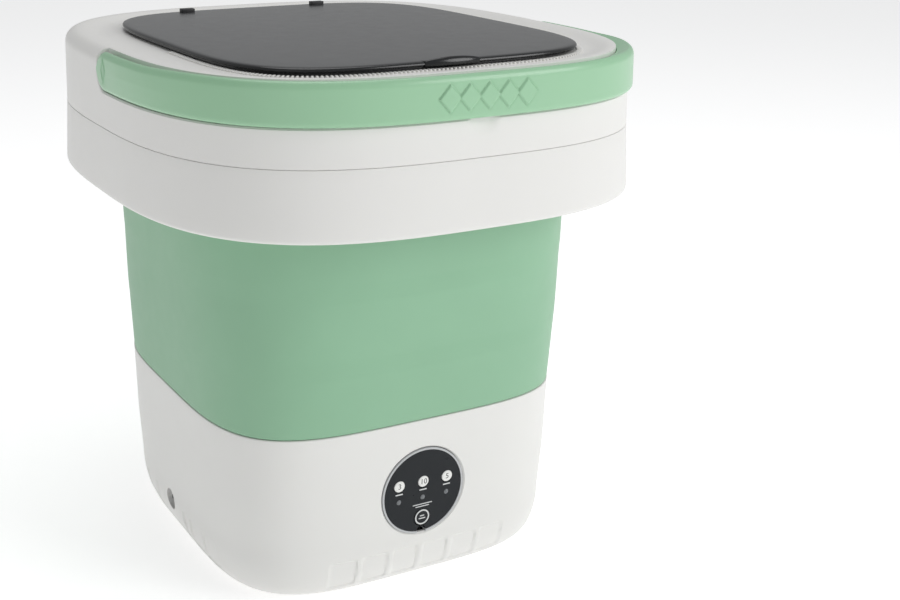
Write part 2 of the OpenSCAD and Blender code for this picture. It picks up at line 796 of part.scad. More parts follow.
base_shell();
bottom_cover();
rubber_feet();
cover_screws();
tub_basin();
bead_retainer();
motor_can();
motor_bracket();
motor_screws();
motor_shaft();
motor_pulley();
drive_belt();
driven_pulley();
drive_shaft();
shaft_bushes();
shaft_seal();
circlip();
impeller();
impeller_screw();
basket_cup();
basket_ring();
control_panel();
panel_bezel();
control_board();
indicator_lenses();
button_3_min();
button_10_min();
button_5_min();
button_start();
power_socket();
wiring_loom();
drain_strainer();
drain_hose();
drain_outlet();
outlet_nut();
drain_plug();
folding_wall();
skirt_ring();
top_ring();
wall_clamp_ring();
collar_screws();
lid_bumpers();
hinge_pins();
lid_panel();
lid_seal();
lid_hinge_arms();
handle_band();
handle_pins();
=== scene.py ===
"""Portable mini washer with a folding tub: smooth shells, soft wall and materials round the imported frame.

Sizes are in millimetres in the part's frame, and MM turns them into metres when a mesh is made.
"""

import json
import math

import bmesh
import bpy
from mathutils import Matrix, Vector


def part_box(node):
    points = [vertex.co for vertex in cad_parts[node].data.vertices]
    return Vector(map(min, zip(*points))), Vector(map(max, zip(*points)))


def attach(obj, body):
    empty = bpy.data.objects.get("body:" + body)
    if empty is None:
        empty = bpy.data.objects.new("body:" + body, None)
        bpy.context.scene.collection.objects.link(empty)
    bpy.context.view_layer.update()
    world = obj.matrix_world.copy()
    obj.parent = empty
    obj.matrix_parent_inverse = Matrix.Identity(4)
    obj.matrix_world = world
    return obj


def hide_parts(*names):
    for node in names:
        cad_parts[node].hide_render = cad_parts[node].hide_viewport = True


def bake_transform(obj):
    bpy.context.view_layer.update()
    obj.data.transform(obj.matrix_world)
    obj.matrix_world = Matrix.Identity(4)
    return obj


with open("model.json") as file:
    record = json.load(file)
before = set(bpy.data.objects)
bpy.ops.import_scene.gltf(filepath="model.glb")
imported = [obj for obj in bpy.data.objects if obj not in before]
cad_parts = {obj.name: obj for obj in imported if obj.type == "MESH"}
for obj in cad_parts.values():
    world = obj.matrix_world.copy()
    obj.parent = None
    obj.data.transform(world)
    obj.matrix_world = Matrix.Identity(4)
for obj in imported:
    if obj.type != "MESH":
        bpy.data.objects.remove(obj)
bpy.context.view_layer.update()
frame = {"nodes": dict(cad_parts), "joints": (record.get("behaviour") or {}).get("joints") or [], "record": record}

MM = 0.001
UP = Vector((0, 0, 1))
SHARP = 38.0                              # edges sharper than this many degrees stay crisp


def node_box(node):
    """Lowest and highest corners of a CAD node, in millimetres."""
    low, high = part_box(node)
    return Vector(low) / MM, Vector(high) / MM


def joint(name):
    return next(j for j in frame["joints"] if j["name"] == name)


# ---- sizes read from the frame ----

BASE_LOW, BASE_HIGH = node_box("base_shell")
SKIRT_LOW, SKIRT_HIGH = node_box("skirt_ring")
RING_HIGH = node_box("top_ring")[1]
WALL_LOW, WALL_HIGH = node_box("folding_wall")
HANDLE_LOW, HANDLE_HIGH = node_box("handle_band")
LID_HIGH = node_box("lid_panel")[1]
PANEL_LOW, PANEL_HIGH = node_box("control_panel")
BUTTON_LOW, BUTTON_HIGH = node_box("button_5_min")
START_LOW, START_HIGH = node_box("button_start")
LENS_LOW, LENS_HIGH = node_box("indicator_lenses")
PLUG_LOW, PLUG_HIGH = node_box("drain_plug")
SOCKET_LOW, SOCKET_HIGH = node_box("power_socket")

# Each outline's shape is its squareness, then its depth divided by its width.
TUB = Vector((4.1, BASE_HIGH.y / BASE_HIGH.x))
COLLAR = Vector((3.0, SKIRT_HIGH.y / SKIRT_HIGH.x))
LID = Vector((4.2, 1.18))
GRIP = Vector((COLLAR.x, COLLAR.y + 0.026))  # the handle stands proud of the collar's front

FOOT_Z = BASE_LOW.z
BASE_TOP_Z = BASE_HIGH.z
BASE_TOP_A = BASE_HIGH.x
COLLAR_A = SKIRT_HIGH.x
COLLAR_Z = SKIRT_LOW.z
SEAM_Z = SKIRT_HIGH.z + 0.4
TOP_A = RING_HIGH.x
RIM_H = 3.0                               # the deck is dished inside a rim this high
RIM_Z = RING_HIGH.z
DECK_Z = RIM_Z - RIM_H
RECESS_A = TOP_A - 8.7                    # wall behind the handle
HANDLE_A = HANDLE_HIGH.x
HANDLE_IN = RECESS_A + 1.7                # half width inside the handle band
PIVOT_Y, HANDLE_MID = (v / MM for v in joint("handle_swing")["pos_m"][1:])
HANDLE_HALF = HANDLE_MID - HANDLE_LOW.z
OPENING_Y = -6.0                          # the lid and opening sit this far forward
OPENING_A = 117.8
LID_A = LID_HIGH.x
LID_TOP_Z = LID_HIGH.z - 1.5
HINGE = Vector(joint("lid_open")["pos_m"]) / MM
HINGE_X = node_box("lid_hinge_arms")[1].x - 5.0  # middle of each hinge arm
HINGE_POCKET = (11.6, 11.8, 16)           # cut in the deck for each arm
HINGE_COVER = (11, 6, 3.4)
PANEL_NORMAL = -Vector(joint("press_start")["axis"])
PANEL_R = PANEL_HIGH.x
PANEL_LEAN = math.radians(3.5)            # the panel leans with the base wall
PANEL_MID = Vector((0, PANEL_LOW.y + math.tan(PANEL_LEAN) * PANEL_R, (PANEL_LOW.z + PANEL_HIGH.z) / 2))
BEZEL_R = node_box("panel_bezel")[1].x


# ---- materials ----

def make_material(name, color, roughness, grain=0.0, grain_size=0.4, variation=0.03, metallic=0.0,
                  specular=0.5, coat=0.0, sheen=0.0, glow=0.0, rough_spread=0.08, edge=0.0, brushed=False,
                  waves=0.0):
    """A moulded or turned surface: drifting colour, uneven gloss, fine grain and softened edges.

    grain is the bump's strength and grain_size its size in millimetres; edge rounds sharp CAD edges by
    that many millimetres in the shading; waves adds a slow unevenness, as soft plastic has.
    """
    material = bpy.data.materials.new(name)
    material.use_nodes = True
    nodes, links = material.node_tree.nodes, material.node_tree.links
    shader = nodes["Principled BSDF"]
    shader.inputs["Metallic"].default_value = metallic
    shader.inputs["Specular IOR Level"].default_value = specular
    shader.inputs["Coat Weight"].default_value = coat
    shader.inputs["Coat Roughness"].default_value = 0.08
    shader.inputs["Sheen Weight"].default_value = sheen
    shader.inputs["Sheen Roughness"].default_value = 0.5
    shader.inputs["Subsurface Weight"].default_value = glow
    shader.inputs["Subsurface Radius"].default_value = (0.004, 0.004, 0.003)
    place = nodes.new("ShaderNodeTexCoord")
    mapping = nodes.new("ShaderNodeMapping")
    links.new(place.outputs["Object"], mapping.inputs["Vector"])
    if brushed:
        mapping.inputs["Scale"].default_value = (1.0, 1.0, 14.0)

    drift = nodes.new("ShaderNodeTexNoise")
    drift.inputs["Scale"].default_value = 28.0
    drift.inputs["Detail"].default_value = 4.0
    links.new(mapping.outputs["Vector"], drift.inputs["Vector"])
    tint = nodes.new("ShaderNodeMix")
    tint.data_type = "RGBA"
    darker = [c * (1.0 - variation) for c in color]
    lighter = [min(1.0, c * (1.0 + variation)) for c in color]
    tint.inputs["A"].default_value = (*darker, 1.0)
    tint.inputs["B"].default_value = (*lighter, 1.0)
    links.new(drift.outputs["Fac"], tint.inputs["Factor"])
    links.new(tint.outputs["Result"], shader.inputs["Base Color"])

    gloss = nodes.new("ShaderNodeTexNoise")
    gloss.inputs["Scale"].default_value = 90.0
    gloss.inputs["Detail"].default_value = 6.0
    links.new(mapping.outputs["Vector"], gloss.inputs["Vector"])
    spread = nodes.new("ShaderNodeMapRange")
    spread.inputs["To Min"].default_value = max(0.02, roughness - rough_spread)
    spread.inputs["To Max"].default_value = min(1.0, roughness + rough_spread)
    links.new(gloss.outputs["Fac"], spread.inputs["Value"])
    links.new(spread.outputs["Result"], shader.inputs["Roughness"])

    normal = None
    if edge > 0:
        bevel = nodes.new("ShaderNodeBevel")
        bevel.samples = 4
        bevel.inputs["Radius"].default_value = edge * MM
        normal = bevel.outputs["Normal"]
    if waves > 0:
        slow = nodes.new("ShaderNodeTexNoise")
        slow.inputs["Scale"].default_value = 14.0
        slow.inputs["Detail"].default_value = 1.0
        links.new(place.outputs["Object"], slow.inputs["Vector"])
        soft = nodes.new("ShaderNodeBump")
        soft.inputs["Strength"].default_value = waves
        soft.inputs["Distance"].default_value = 2.0 * MM
        links.new(slow.outputs["Fac"], soft.inputs["Height"])
        if normal:
            links.new(normal, soft.inputs["Normal"])
        normal = soft.outputs["Normal"]
    if grain > 0:
        texture = nodes.new("ShaderNodeTexNoise")
        texture.inputs["Scale"].default_value = 1.0 / (grain_size * MM)
        texture.inputs["Detail"].default_value = 2.0
        links.new(mapping.outputs["Vector"], texture.inputs["Vector"])
        bump = nodes.new("ShaderNodeBump")
        bump.inputs["Strength"].default_value = grain
        bump.inputs["Distance"].default_value = 0.1 * MM
        links.new(texture.outputs["Fac"], bump.inputs["Height"])
        if normal:
            links.new(normal, bump.inputs["Normal"])
        normal = bump.outputs["Normal"]
    if normal:
        links.new(normal, shader.inputs["Normal"])
    return material


WHITE = make_material("white_abs", (0.77, 0.763, 0.742), 0.42, grain=0.25, variation=0.012, glow=0.04)
WHITE_CAD = make_material("white_abs_inner", (0.74, 0.735, 0.72), 0.4, grain=0.2, variation=0.012, edge=0.4)
MINT = make_material("mint_abs", (0.312, 0.552, 0.350), 0.34, grain=0.12, variation=0.02, coat=0.15,
                     glow=0.04)
MINT_SOFT = make_material("mint_tpe", (0.255, 0.468, 0.303), 0.52, grain=0.3, grain_size=0.7,
                          variation=0.03, sheen=0.08, glow=0.05, waves=0.10)
SMOKED = make_material("smoked_plastic", (0.012, 0.013, 0.014), 0.2, variation=0.1, rough_spread=0.03,
                       specular=0.45)
GLOSS_BLACK = make_material("black_gloss", (0.013, 0.015, 0.018), 0.3, specular=0.22, grain=0.04,
                            variation=0.08, edge=0.3)
MATT_BLACK = make_material("black_plastic", (0.02, 0.02, 0.022), 0.5, grain=0.3, variation=0.1, edge=0.3)
RUBBER_BLACK = make_material("black_rubber", (0.018, 0.018, 0.019), 0.7, grain=0.5, grain_size=0.8,
                             variation=0.15, sheen=0.1, edge=0.3)
RUBBER_GREY = make_material("grey_rubber", (0.09, 0.093, 0.095), 0.65, grain=0.4, variation=0.08, edge=0.4)
GREY = make_material("grey_plastic", (0.50, 0.51, 0.52), 0.35, grain=0.15, variation=0.02, edge=0.3)
BUTTON_WHITE = make_material("button_white", (0.80, 0.80, 0.78), 0.3, grain=0.06, variation=0.02)
PRINT_WHITE = make_material("printed_white", (0.62, 0.63, 0.63), 0.5, grain=0.1, variation=0.05)
PRINT_BLACK = make_material("printed_black", (0.02, 0.02, 0.022), 0.5, grain=0.1, variation=0.05)
BASKET = make_material("basket_plastic", (0.66, 0.68, 0.72), 0.28, grain=0.1, variation=0.02, glow=0.15,
                       edge=0.5)
STEEL = make_material("steel", (0.56, 0.56, 0.58), 0.3, grain=0.2, variation=0.06, metallic=1.0, edge=0.2,
                      brushed=True)
BRONZE = make_material("bronze", (0.58, 0.38, 0.16), 0.35, grain=0.3, variation=0.12, metallic=1.0,
                       edge=0.2)
BOARD = make_material("circuit_board", (0.02, 0.14, 0.06), 0.4, grain=0.3, grain_size=1.5, variation=0.25)
LENS = make_material("lens_plastic", (0.16, 0.17, 0.18), 0.2, grain=0.05, variation=0.05, glow=0.2,
                     edge=0.3)
WIRE_RED = make_material("wire_red", (0.45, 0.03, 0.02), 0.4, grain=0.2, variation=0.08, edge=0.3)

SLOT_MATERIALS = {
    "white_abs": WHITE_CAD, "mint_abs": MINT, "mint_tpe": MINT_SOFT, "smoked_plastic": SMOKED,
    "black_gloss": GLOSS_BLACK, "black_plastic": MATT_BLACK, "grey_plastic": GREY,
    "button_white": BUTTON_WHITE, "basket_plastic": BASKET, "black_rubber": RUBBER_BLACK,
    "grey_rubber": RUBBER_GREY, "steel": STEEL, "bronze": BRONZE, "circuit_board": BOARD,
    "lens_plastic": LENS, "wire_red": WIRE_RED,
}


def dress_cad_nodes():
    """Every carried-over CAD node takes the material of its slot in the record."""
    for part in frame["record"]["subparts"]:
        mesh = frame["nodes"][part["node"]].data
        mesh.materials.clear()
        mesh.materials.append(SLOT_MATERIALS[part["material_slot"]])


# ---- outlines and meshes ----

def smoothstep(value, low, high):
    t = min(1.0, max(0.0, (value - low) / (high - low)))
    return t * t * (3 - 2 * t)


def outline_point(a, shape, angle, z, centre_y=0.0):
    """The point at this polar angle on a superellipse of half width a."""
    power, depth = shape
    c, s = math.cos(angle), math.sin(angle)
    reach = (abs(c / a) ** power + abs(s / (a * depth)) ** power) ** (-1 / power)
    return Vector((reach * c, reach * s + centre_y, z))


def stations(a, shape, spacing, start=0.0, end=2 * math.pi):
    """Polar angles along an outline, where spacing(point) is the wanted distance to the next one."""
    fine = 7200
    angles = [start + (end - start) * i / fine for i in range(fine + 1)]
    travel = [0.0]
    last = outline_point(a, shape, angles[0], 0)
    for angle in angles[1:]:
        here = outline_point(a, shape, angle, 0)
        travel.append(travel[-1] + (here - last).length / spacing(here))
        last = here
    count = round(travel[-1])
    picked, j = [], 0
    for i in range(count):
        wanted = travel[-1] * i / count
        while travel[j + 1] < wanted:
            j += 1
        picked.append(angles[j])
    whole_turn = end - start > 6.2
    return picked if whole_turn else picked + [end]


def rounded(corners, steps=5):
    """A closed profile of (half width, height, share) with each corner (a, z, share, radius) rounded."""
    out = []
    for i, (a, z, share, radius) in enumerate(corners):
        here = Vector((a, z))
        before, after = corners[i - 1], corners[(i + 1) % len(corners)]
        to_before, to_after = Vector(before[:2]) - here, Vector(after[:2]) - here
        cut = min(radius, 0.45 * to_before.length, 0.45 * to_after.length)
        if cut <= 0:
            out.append((a, z, share))
            continue
        first, last = here + to_before.normalized() * cut, here + to_after.normalized() * cut
        for k in range(steps + 1):
            t = k / steps
            p = first * (1 - t) ** 2 + here * (2 * t * (1 - t)) + last * t * t
            out.append((p.x, p.y, share))
    return out


def densify(profile, step):
    """Splits a closed profile's long stretches so that no piece is longer than step."""
    out = []
    for i, here in enumerate(profile):
        there = profile[(i + 1) % len(profile)]
        length = math.hypot(there[0] - here[0], there[1] - here[1])
        pieces = max(1, math.ceil(length / step))
        out += [tuple(h + (t - h) * k / pieces for h, t in zip(here, there)) for k in range(pieces)]
    return out


def finish_mesh(name, verts, faces, material, sharp=SHARP):
    """A smooth-shaded object from points in millimetres."""
    mesh = bpy.data.meshes.new(name)
    mesh.from_pydata([v * MM for v in verts], [], faces)
    shape = bmesh.new()
    shape.from_mesh(mesh)
    bmesh.ops.remove_doubles(shape, verts=shape.verts, dist=1e-6)
    bmesh.ops.recalc_face_normals(shape, faces=shape.faces)
    shape.to_mesh(mesh)
    shape.free()
    mesh.shade_smooth()
    mesh.set_sharp_from_angle(angle=math.radians(sharp))
    mesh.materials.append(material)
    obj = bpy.data.objects.new(name, mesh)
    bpy.context.scene.collection.objects.link(obj)
    return obj


def grid(name, rows, material, loop_rows=True, loop_columns=True, caps=False, sharp=SHARP):
    """A surface through rows of points, all of one length, closed in either direction."""
    count, width = len(rows), len(rows[0])
    verts = [p for row in rows for p in row]
    faces = []
    for j in range(count if loop_rows else count - 1):
        for i in range(width if loop_columns else width - 1):
            near, far = j * width, ((j + 1) % count) * width
            k = (i + 1) % width
            faces.append((near + i, near + k, far + k, far + i))
    if caps:
        faces.append(tuple(range(width)))
        faces.append(tuple(reversed(range((count - 1) * width, count * width))))
    return finish_mesh(name, verts, faces, material, sharp)


def sweep(name, profile, angles, material, sharp=SHARP, warp=None):
    """Sweeps a closed profile round the tub. A point's share is 0 for the tub's outline, 1 for the collar's.

    warp(point, half width) may move each point.
    """
    rows = []
    for a, z, share in profile:
        row = [outline_point(a, TUB.lerp(COLLAR, share), angle, z) for angle in angles]
        rows.append([warp(p, a) for p in row] if warp else row)
    return grid(name, rows, material, sharp=sharp)


def turned_rows(profile, matrix, segments):
    """Rows of points from a profile of (radius, height), turned round the matrix's Z axis."""
    turn = [2 * math.pi * i / segments for i in range(segments)]
    return [[matrix @ Vector((radius * math.cos(t), radius * math.sin(t), height)) for t in turn]
            for radius, height in profile]


def lathe(name, profile, material, matrix, segments=96):
    """Turns a closed profile into a ring."""
    return grid(name, turned_rows(profile, matrix, segments), material)


def disc(name, profile, material, matrix, segments=96):
    """Turns an open profile and caps both ends."""
    return grid(name, turned_rows(profile, matrix, segments), material, loop_rows=False, caps=True)


def block(name, size, matrix, material, bevel=0.3):
    """A box with softened edges, centred on the matrix."""
    shape = bmesh.new()
    bmesh.ops.create_cube(shape, size=1.0)
    bmesh.ops.scale(shape, vec=Vector(size), verts=shape.verts)
    if bevel > 0:
        bmesh.ops.bevel(shape, geom=shape.edges[:], offset=bevel, segments=3, profile=0.5, affect="EDGES")
    bmesh.ops.transform(shape, matrix=matrix, verts=shape.verts)
    bmesh.ops.scale(shape, vec=Vector((MM, MM, MM)), verts=shape.verts)
    mesh = bpy.data.meshes.new(name)
    shape.to_mesh(mesh)
    shape.free()
    mesh.shade_smooth()
    mesh.set_sharp_from_angle(angle=math.radians(SHARP))
    mesh.materials.append(material)
    obj = bpy.data.objects.new(name, mesh)
    bpy.context.scene.collection.objects.link(obj)
    return obj


def join(name, objects):
    """Makes one mesh of several, as one moulding with repeated detail."""
    merged = bmesh.new()
    for obj in objects:
        merged.from_mesh(obj.data)
    mesh = objects[0].data
    merged.to_mesh(mesh)
    merged.free()
    for obj in objects[1:]:
        bpy.data.objects.remove(obj)
    objects[0].name = name
    mesh.name = name
    return objects[0]


def cut(obj, cutters):
    """Cuts the cutters out of obj and deletes them."""
    for cutter in cutters:
        modifier = obj.modifiers.new("cut", "BOOLEAN")
        modifier.operation = "DIFFERENCE"
        modifier.solver = "EXACT"
        modifier.object = cutter
    bpy.context.view_layer.update()
    done = obj.evaluated_get(bpy.context.evaluated_depsgraph_get())
    mesh = bpy.data.meshes.new_from_object(done)
    obj.modifiers.clear()
    obj.data = mesh
    mesh.set_sharp_from_angle(angle=math.radians(30))
    for cutter in cutters:
        bpy.data.objects.remove(cutter)
    return obj


def place_piece(obj, body, slot, *nodes):
    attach(obj, body)
    if nodes:
        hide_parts(*nodes)
    return obj


def panel_matrix(x, z, depth=0.0):
    """A frame on the panel's face at this place, with +Z pointing out of the panel and +Y up it."""
    normal = PANEL_NORMAL.normalized()
    right = Vector((1, 0, 0))
    up = normal.cross(right)
    spot = PANEL_MID + right * x + up * (z - PANEL_MID.z) - normal * depth
    return Matrix.Translation(spot) @ Matrix((right, up, normal)).transposed().to_4x4()


def along_x(x, y, z):
    """A frame at a point with +Z pointing to +X."""
    return Matrix.Translation((x, y, z)) @ Matrix.Rotation(math.radians(90), 4, "Y")


# ---- base ----

WINDOW_PITCH = 23.3                       # vent windows along the lower edge, except beside the drain
WINDOW_Z, WINDOW_HALF_W, WINDOW_HALF_H = 18.0, 10.1, 10.5
WINDOW_DEPTH = 1.1
ROUND_A, ROUND_H = 11.8, 33.0             # the lower edge's rounding, inwards and upwards
BASE_SIDE_A = 128.4
DRAIN = Vector((-122, (PLUG_LOW.y + PLUG_HIGH.y) / 2, (PLUG_LOW.z + PLUG_HIGH.z) / 2))
POCKET_R = 7.5                            # pocket round the drain outlet's mouth


def window_inset(p):
    """How deep the vent windows are sunk at this point of the lower edge."""
    across = p.x if abs(p.y) > abs(p.x) else p.y
    beside_drain = p.x < 0 and abs(p.y - DRAIN.y) < WINDOW_PITCH
    if abs(across) > 3 * WINDOW_PITCH or (beside_drain and across == p.y):
        return 0.0
    u = abs(across) % WINDOW_PITCH - WINDOW_PITCH / 2
    corner = 3.0
    dx = max(0.0, abs(u) - (WINDOW_HALF_W - corner))
    dz = max(0.0, abs(p.z - WINDOW_Z) - (WINDOW_HALF_H - corner))
    return WINDOW_DEPTH * smoothstep(corner - math.hypot(dx, dz), -0.1, 1.1)


def base_profile():
    lower_edge = []
    steps = 34
    for k in range(steps + 1):
        t = math.pi / 2 * k / steps
        a = BASE_SIDE_A - ROUND_A + ROUND_A * math.sin(t)
        lower_edge.append((a, FOOT_Z + ROUND_H * (1 - math.cos(t)), 0, 0))
    upper = [
        (130.9, 70, 0, 3), (BASE_TOP_A, BASE_TOP_Z, 0, 0.9), (BASE_TOP_A - 2.6, BASE_TOP_Z, 0, 0.4),
        (128.1, 70, 0, 2), (125.4, 34, 0, 2), (120.0, 11, 0, 3), (113.5, FOOT_Z + 2.8, 0, 0.5),
        (110.6, FOOT_Z + 2.8, 0, 0.4), (110.6, FOOT_Z, 0, 0.4),
    ]
    return densify(rounded(lower_edge + upper, 4), 6.0)


def make_base():
    angles = stations(BASE_SIDE_A, TUB, lambda p: 1.25)
    outer_floor = BASE_SIDE_A - ROUND_A - 1

    def warp(p, a):
        if p.z > 32 or a < outer_floor or p.z < FOOT_Z + 0.1:
            return p
        below = 1 - (p.z - FOOT_Z) / ROUND_H
        outer_a = BASE_SIDE_A - ROUND_A + ROUND_A * math.sqrt(max(0.0, 1 - below ** 2))
        if a < outer_a - 0.6:
            return p
        flat = Vector((p.x, p.y, 0))
        return p - flat.normalized() * window_inset(p)

    shell = sweep("base_shell_outer", base_profile(), angles, WHITE, warp=warp)
    recess_r = BEZEL_R + 0.25
    panel_cut = disc("panel_cut", [
        (recess_r, -30), (recess_r, -0.9), (recess_r + 2.4, 1.6), (recess_r + 2.4, 12)
    ], WHITE, panel_matrix(0, PANEL_MID.z))
    drain_cut = disc("drain_cut", [(POCKET_R + 0.2, -8), (POCKET_R + 0.2, 25)], WHITE,
                     along_x(-138, DRAIN.y, DRAIN.z), 64)
    socket_r = (SOCKET_HIGH.z - SOCKET_LOW.z) / 2 + 0.3
    middle = (SOCKET_LOW + SOCKET_HIGH) / 2
    jack_cut = disc("jack_cut", [(socket_r, -12), (socket_r, 14)], WHITE,
                    along_x(122, middle.y, middle.z), 48)
    cut(shell, [panel_cut, drain_cut, jack_cut])
    place_piece(shell, "base", "white_abs", "base_shell")

    pocket = lathe("drain_pocket", [
        (POCKET_R, -3), (POCKET_R + 0.3, -3.4), (POCKET_R + 2.2, -3.4), (POCKET_R + 2.5, -3),
        (POCKET_R + 2.5, 7), (5.65, 7), (5.65, 4.6), (5.8, 4.4), (POCKET_R - 0.4, 4.4), (POCKET_R, 4.0)
    ], WHITE, along_x(-121.6, DRAIN.y, DRAIN.z), 64)
    place_piece(pocket, "base", "white_abs")


# ---- folding wall ----

def make_wall():
    """One soft skin from the bead in the base's rim to the flange held in the collar."""
    bead_a = BASE_TOP_A - 3.0
    t = 2.4
    top = WALL_HIGH.z
    low = WALL_LOW.z
    outer = [
        (bead_a, low, 0, 0.4), (bead_a, BASE_TOP_Z - 0.4, 0, 0.3),
        (BASE_TOP_A - 0.3, BASE_TOP_Z + 0.7, 0, 0.8), (136.0, 167, 0.31, 6), (139.2, 220, 0.67, 6),
        (141.4, 256, 0.88, 5), (143.4, 264, 0.92, 3), (148.4, 269.2, 0.95, 3), (156, top - 2.2, 1, 2),
        (166, top - 2.2, 1, 0.5),
    ]
    inner = [
        (166, top, 1, 0.5), (155, top, 1, 2), (146.8, 271, 0.95, 3), (141.0, 265.2, 0.92, 3),
        (141.4 - t, 256, 0.88, 5), (139.2 - t, 220, 0.67, 6), (136.0 - t, 167, 0.31, 6),
        (BASE_TOP_A - 0.3 - t, BASE_TOP_Z + 1.2, 0, 0.8), (bead_a - t, BASE_TOP_Z - 0.6, 0, 0.3),
        (bead_a - t, low, 0, 0.4),
    ]
    angles = stations(138, TUB.lerp(COLLAR, 0.5), lambda p: 2.4)
    wall = sweep("folding_wall_skin", densify(rounded(outer + inner, 5), 2.2), angles, MINT_SOFT)
    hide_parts("folding_wall")
    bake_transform(wall)


# ---- collar ----

def make_skirt():
    flange = 158.0
    corners = [
        (flange, COLLAR_Z, 1, 0.6), (COLLAR_A, COLLAR_Z, 1, 3.2), (TOP_A + 0.05, SEAM_Z - 0.15, 1, 0.4),
        (TOP_A - 2.8, SEAM_Z - 0.15, 1, 0.4), (COLLAR_A - 2.8, COLLAR_Z + 2.6, 1, 2),
        (flange, COLLAR_Z + 2.6, 1, 0.6),
    ]
    angles = stations(COLLAR_A, COLLAR, lambda p: 2.2)
    skirt = sweep("collar_skirt", densify(rounded(corners, 6), 8.0), angles, WHITE)
    place_piece(skirt, "collar", "white_abs", "skirt_ring")


RECESS_FOOT = HANDLE_MID - HANDLE_HALF - 1.0
RECESS_END_R = HANDLE_HALF + 1.0
EDGE_R = 9.0                              # rounding of the deck's outer edge
CHAMFER = 1.1                             # light chamfer round the handle's recess
THUMB_R = 13.0                            # thumb notch under the handle's grip


def recess_depth(p):
    """How far the handle's recess is sunk at this point, with a chamfered border."""
    rise, behind = p.z - HANDLE_MID, p.y - PIVOT_Y
    if behind <= 0:
        inside = p.z - RECESS_FOOT
    elif rise >= 0:
        inside = RECESS_END_R - behind
    else:
        inside = RECESS_END_R - math.hypot(behind, rise)
    full = TOP_A - RECESS_A
    if inside < -CHAMFER:
        return 0.0
    if inside < 0:
        return inside + CHAMFER
    return CHAMFER + (full - CHAMFER) * smoothstep(inside, 0.0, 0.7)


def thumb_depth(p):
    """How far the thumb notch under the handle's grip is sunk at this point."""
    if p.y > 0:
        return 0.0
    away = math.hypot(p.x, (p.z - RECESS_FOOT - 1.0) * 1.25)
    return 1.9 * smoothstep(THUMB_R - away, 0.0, 8.0)


def make_top_ring():
    """The collar's upper moulding: side, handle recess, rounded edge, dished deck and the opening's lip."""
    near_end = 24.0

    def spacing(p):
        if abs(p.y - PIVOT_Y) < near_end:
            return 0.8
        if p.y < 0 and abs(p.x) < THUMB_R + 2:
            return 1.1
        return 2.4

    angles = stations(TOP_A, COLLAR, spacing)
    heights = [SEAM_Z + 0.35 + 3.2 * k for k in range(6)]
    foot = RECESS_FOOT
    heights += [foot - 3.2, foot - 2.0, foot - CHAMFER, foot - 0.55]
    heights += [foot, foot + 0.2, foot + 0.45, foot + 0.75]
    heights += [foot + 1.6 + 0.85 * k for k in range(int((RIM_Z - EDGE_R - foot - 1.6) / 0.85))]
    rows = [[outline_point(TOP_A - 0.35, COLLAR, t, SEAM_Z) for t in angles]]
    for z in heights:
        rows.append([outline_point(TOP_A, COLLAR, t, z) for t in angles])
    edge_steps = 9
    for k in range(edge_steps + 1):
        turn = math.pi / 2 * k / edge_steps
        a = TOP_A - EDGE_R * (1 - math.cos(turn))
        z = RIM_Z - EDGE_R * (1 - math.sin(turn))
        rows.append([outline_point(a, COLLAR, t, z) for t in angles])
    side_rows = len(rows)
    for j in range(side_rows):
        for i, p in enumerate(rows[j]):
            outer = outline_point(TOP_A, COLLAR, angles[i], p.z)
            flat = Vector((outer.x, outer.y, 0)).normalized()
            sunk = max(recess_depth(p), thumb_depth(p)) if p.z > foot - THUMB_R else 0.0
            target = outer - flat * sunk
            if sunk > 0 and Vector(target.xy).length < Vector(p.xy).length:
                rows[j][i] = Vector((target.x, target.y, p.z))

    def opening(a, z):
        return [outline_point(a, LID, t, z, OPENING_Y) for t in angles]

    brim = rows[-1]
    mouth = opening(OPENING_A + 1.2, DECK_Z)
    dish = ((0.04, 0.0), (0.1, 0.08), (0.17, 0.3), (0.26, 0.68), (0.34, 0.92), (0.42, 1.0), (0.7, 1.0))
    for share, dip in dish:
        level = UP * (RIM_Z - RIM_H * dip)
        rows.append([b.lerp(m, share) * Vector((1, 1, 0)) + level for b, m in zip(brim, mouth)])
    rows.append(mouth)
    rows.append(opening(OPENING_A + 0.4, DECK_Z - 0.3))
    rows.append(opening(OPENING_A, DECK_Z - 1.1))
    rows.append(opening(OPENING_A, DECK_Z - 19.4))
    rows.append(opening(OPENING_A + 0.5, DECK_Z - 20))
    rows.append(opening(OPENING_A + 2.5, DECK_Z - 20))
    rows.append(opening(OPENING_A + 3, DECK_Z - 19.4))
    rows.append(opening(OPENING_A + 3, DECK_Z - 4.5))
    hollow_a = RECESS_A - 2.8
    for a, z in ((hollow_a, DECK_Z - 4.5), (hollow_a, RECESS_FOOT - 2.6), (TOP_A - 3, RECESS_FOOT - 4.4),
                 (TOP_A - 3, SEAM_Z + 0.6), (TOP_A - 2.6, SEAM_Z)):
        rows.append([outline_point(a, COLLAR, t, z) for t in angles])
    ring = grid("collar_top_ring", rows, WHITE)
    pockets = [
        block(f"hinge_pocket_{side}", HINGE_POCKET,
              Matrix.Translation((side * HINGE_X, HINGE.y, DECK_Z)), WHITE, 0)
        for side in (-1, 1)
    ]
    cut(ring, pockets)
    place_piece(ring, "collar", "white_abs", "top_ring")


